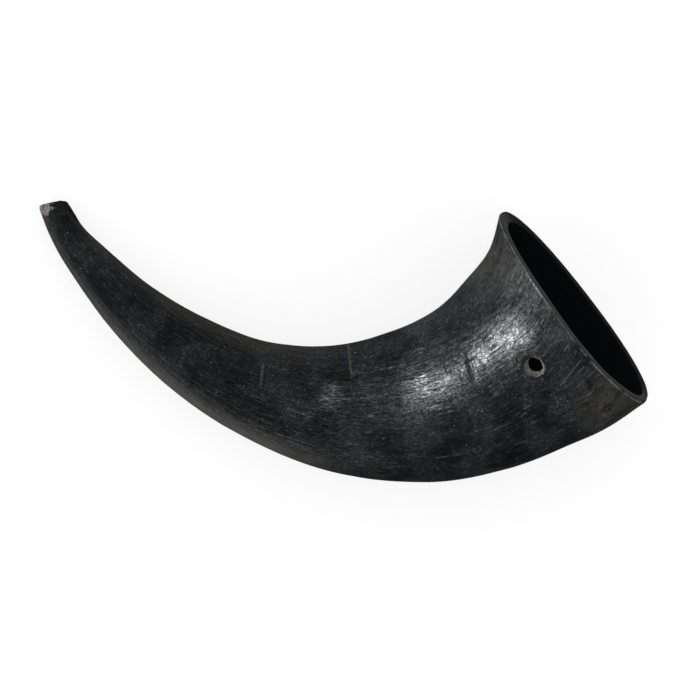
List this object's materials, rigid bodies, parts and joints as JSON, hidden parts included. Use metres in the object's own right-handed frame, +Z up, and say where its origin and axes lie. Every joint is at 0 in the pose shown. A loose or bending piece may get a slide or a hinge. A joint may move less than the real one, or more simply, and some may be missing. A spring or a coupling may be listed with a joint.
{
  "type": "buffalo horn",
  "caption": "Hollow curved buffalo horn with a flared open mouth, a sawn-off tip and a small drilled hanging hole, lying on its side.",
  "frame": {"origin": "on the surface the horn lies on, under the middle of its bounding box", "axes": "+X from the sawn tip's side to the mouth's side, +Y from the outside of the bend to the inside, where the tip and the mouth's upper lip point, +Z up"},
  "size_m": [0.1786, 0.0828, 0.0532],
  "materials": {
    "horn": "worn, oiled black horn with a blue-grey cast, semi-gloss, with fine paler fibre streaks along it, scratches, brown patches near the mouth and a pale broken tip"
  },
  "bodies": {
    "root": {"horn": "horn"}
  },
  "joints": []
}
